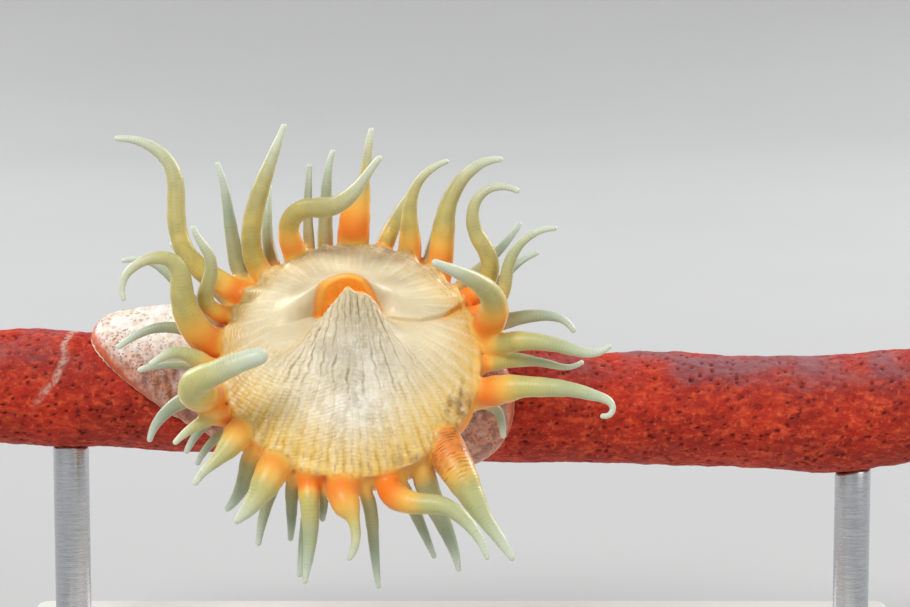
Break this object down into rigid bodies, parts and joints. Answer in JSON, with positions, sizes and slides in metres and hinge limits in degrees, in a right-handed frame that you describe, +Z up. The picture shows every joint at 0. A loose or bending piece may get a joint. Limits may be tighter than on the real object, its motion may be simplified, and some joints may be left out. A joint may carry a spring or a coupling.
{
  "type": "gorgonian wrapper anemone",
  "caption": "Small branch-living sea anemone at life size: a radially folded oral disc ringed by tapering tentacles, its foot clasping a cut red branch on a display stand.",
  "frame": {"origin": "centre of the stand base's underside", "axes": "+X along the branch to the viewer's right, +Y away from the viewer, +Z up"},
  "size_m": [0.08, 0.04, 0.0488],
  "materials": {
    "stand_base": "satin, off-white",
    "stand_rod": "fine brushed",
    "branch": "rough, pitted red crust",
    "foot": "moist, speckled",
    "column": "moist",
    "collar": "moist, translucent",
    "disc": "moist, finely folded",
    "mouth": "moist",
    "tentacle_root": "moist, translucent",
    "tentacle_tip": "moist, translucent"
  },
  "bodies": {
    "root": {"stand_base": "stand_base", "stand_rod_left": "stand_rod", "stand_rod_right": "stand_rod", "perch_branch": "branch", "foot": "foot", "column": "column", "oral_disc": "disc", "mouth": "mouth", "tentacle_01_root": "tentacle_root", "tentacle_01_tip": "tentacle_tip", "tentacle_02_root": "tentacle_root", "tentacle_02_tip": "tentacle_tip", "tentacle_03_root": "tentacle_root", "tentacle_03_tip": "tentacle_tip", "tentacle_04_root": "tentacle_root", "tentacle_04_tip": "tentacle_tip", "tentacle_05_root": "tentacle_root", "tentacle_05_tip": "tentacle_tip", "tentacle_06_root": "tentacle_root", "tentacle_06_tip": "tentacle_tip", "tentacle_07_root": "tentacle_root", "tentacle_07_tip": "tentacle_tip", "tentacle_08_root": "tentacle_root", "tentacle_08_tip": "tentacle_tip", "tentacle_09_root": "tentacle_root", "tentacle_09_tip": "tentacle_tip", "tentacle_10_root": "tentacle_root", "tentacle_10_tip": "tentacle_tip", "tentacle_11_root": "tentacle_root", "tentacle_11_tip": "tentacle_tip", "tentacle_12_root": "tentacle_root", "tentacle_12_tip": "tentacle_tip", "tentacle_13_root": "tentacle_root", "tentacle_13_tip": "tentacle_tip", "tentacle_14_root": "tentacle_root", "tentacle_14_tip": "tentacle_tip", "tentacle_15_root": "tentacle_root", "tentacle_15_tip": "tentacle_tip", "tentacle_16_root": "tentacle_root", "tentacle_16_tip": "tentacle_tip", "tentacle_17_root": "tentacle_root", "tentacle_17_tip": "tentacle_tip", "tentacle_18_root": "tentacle_root", "tentacle_18_tip": "tentacle_tip", "tentacle_19_root": "tentacle_root", "tentacle_19_tip": "tentacle_tip", "tentacle_20_root": "tentacle_root", "tentacle_20_tip": "tentacle_tip", "tentacle_21_root": "tentacle_root", "tentacle_21_tip": "tentacle_tip", "tentacle_22_root": "tentacle_root", "tentacle_22_tip": "tentacle_tip", "tentacle_23_root": "tentacle_root", "tentacle_23_tip": "tentacle_tip", "tentacle_24_root": "tentacle_root", "tentacle_24_tip": "tentacle_tip", "collar_right": "collar", "collar_upper": "collar", "collar_left": "collar", "collar_lower": "collar"}
  },
  "joints": []
}
